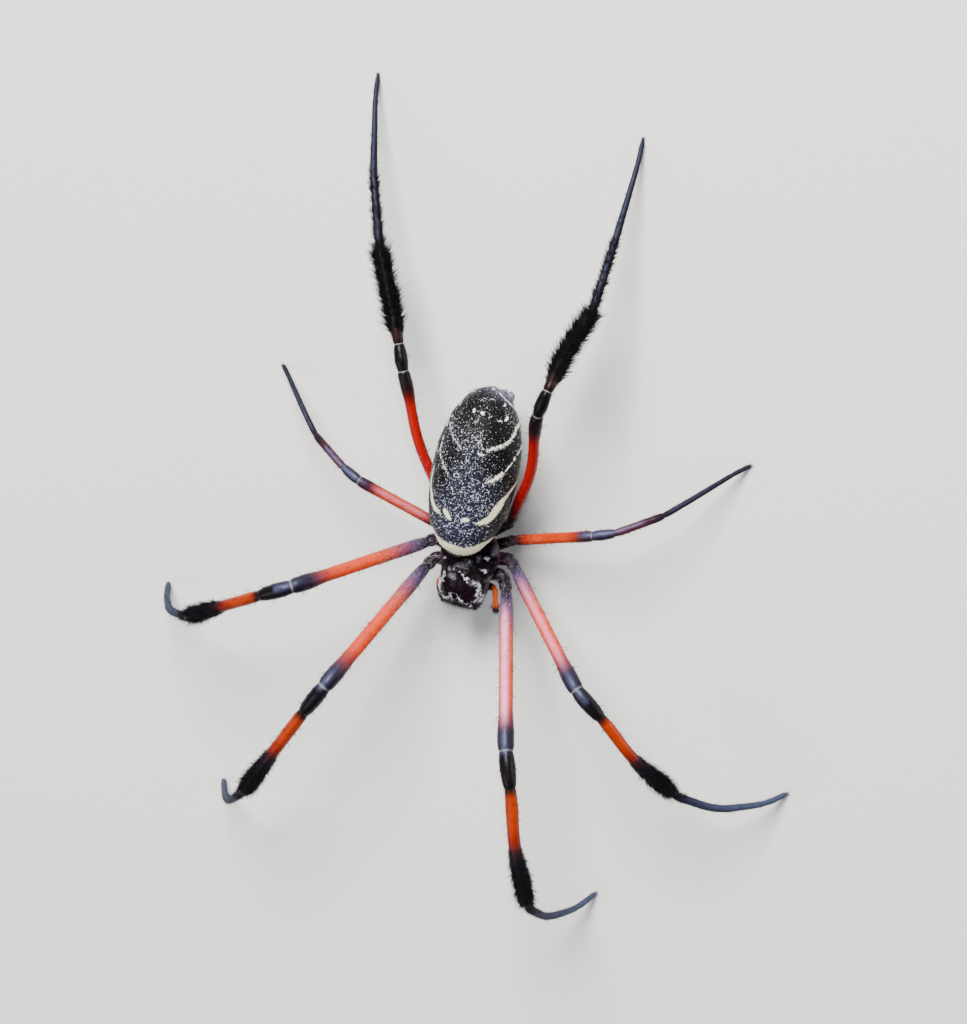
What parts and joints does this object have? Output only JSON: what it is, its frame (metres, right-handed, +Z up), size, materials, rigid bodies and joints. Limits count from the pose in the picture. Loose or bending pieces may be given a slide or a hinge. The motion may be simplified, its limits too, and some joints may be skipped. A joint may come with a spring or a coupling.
{
  "type": "golden silk orb weaver",
  "caption": "Life-size still model of a female golden silk orb weaver spider, long dark abdomen and long red and black legs spread, standing on its feet.",
  "frame": {"origin": "on the surface the spider stands on, under the middle of its bounding box", "axes": "+Y from the head to the tail, +Z up, +X to the spider's left"},
  "size_m": [0.0974, 0.111, 0.0257],
  "materials": {
    "carapace": "satin black shield with silver hair",
    "abdomen": "matte slate black with white speckles and cream bands",
    "spinnerets": "matte grey purple",
    "coxae": "satin plum with pinkish silver hair",
    "femora": "glossy orange to pink, black at the knee",
    "rear_femora": "glossy blood red, black at the knee",
    "patellae": "glossy black",
    "tibiae": "black, orange at the near half of the first two pairs, with a dense black hair brush",
    "third_tibiae": "dark red brown",
    "feet": "satin blue black",
    "fangs": "glossy dark brown",
    "palps": "satin orange with a dark tip",
    "eyes": "glossy black beads"
  },
  "bodies": {
    "root": {"carapace": "carapace", "sternum": "carapace", "abdomen": "abdomen", "pedicel": "coxae", "spinnerets": "spinnerets", "eye_median_front_left": "eyes", "eye_median_front_right": "eyes", "eye_median_rear_left": "eyes", "eye_median_rear_right": "eyes", "eye_side_front_left": "eyes", "eye_side_front_right": "eyes", "eye_side_rear_left": "eyes", "eye_side_rear_right": "eyes", "chelicera_left": "carapace", "fang_left": "fangs", "palp_left": "palps", "chelicera_right": "carapace", "fang_right": "fangs", "palp_right": "palps", "leg_1_left_coxa": "coxae", "leg_1_left_femur": "femora", "leg_1_left_patella": "patellae", "leg_1_left_tibia": "tibiae", "leg_1_left_foot": "feet", "leg_1_right_coxa": "coxae", "leg_1_right_femur": "femora", "leg_1_right_patella": "patellae", "leg_1_right_tibia": "tibiae", "leg_1_right_foot": "feet", "leg_2_left_coxa": "coxae", "leg_2_left_femur": "femora", "leg_2_left_patella": "patellae", "leg_2_left_tibia": "tibiae", "leg_2_left_foot": "feet", "leg_2_right_coxa": "coxae", "leg_2_right_femur": "femora", "leg_2_right_patella": "patellae", "leg_2_right_tibia": "tibiae", "leg_2_right_foot": "feet", "leg_3_left_coxa": "coxae", "leg_3_left_femur": "femora", "leg_3_left_patella": "patellae", "leg_3_left_tibia": "third_tibiae", "leg_3_left_foot": "feet", "leg_3_right_coxa": "coxae", "leg_3_right_femur": "femora", "leg_3_right_patella": "patellae", "leg_3_right_tibia": "third_tibiae", "leg_3_right_foot": "feet", "leg_4_left_coxa": "coxae", "leg_4_left_femur": "rear_femora", "leg_4_left_patella": "patellae", "leg_4_left_tibia": "tibiae", "leg_4_left_foot": "feet", "leg_4_right_coxa": "coxae", "leg_4_right_femur": "rear_femora", "leg_4_right_patella": "patellae", "leg_4_right_tibia": "tibiae", "leg_4_right_foot": "feet"}
  },
  "joints": []
}
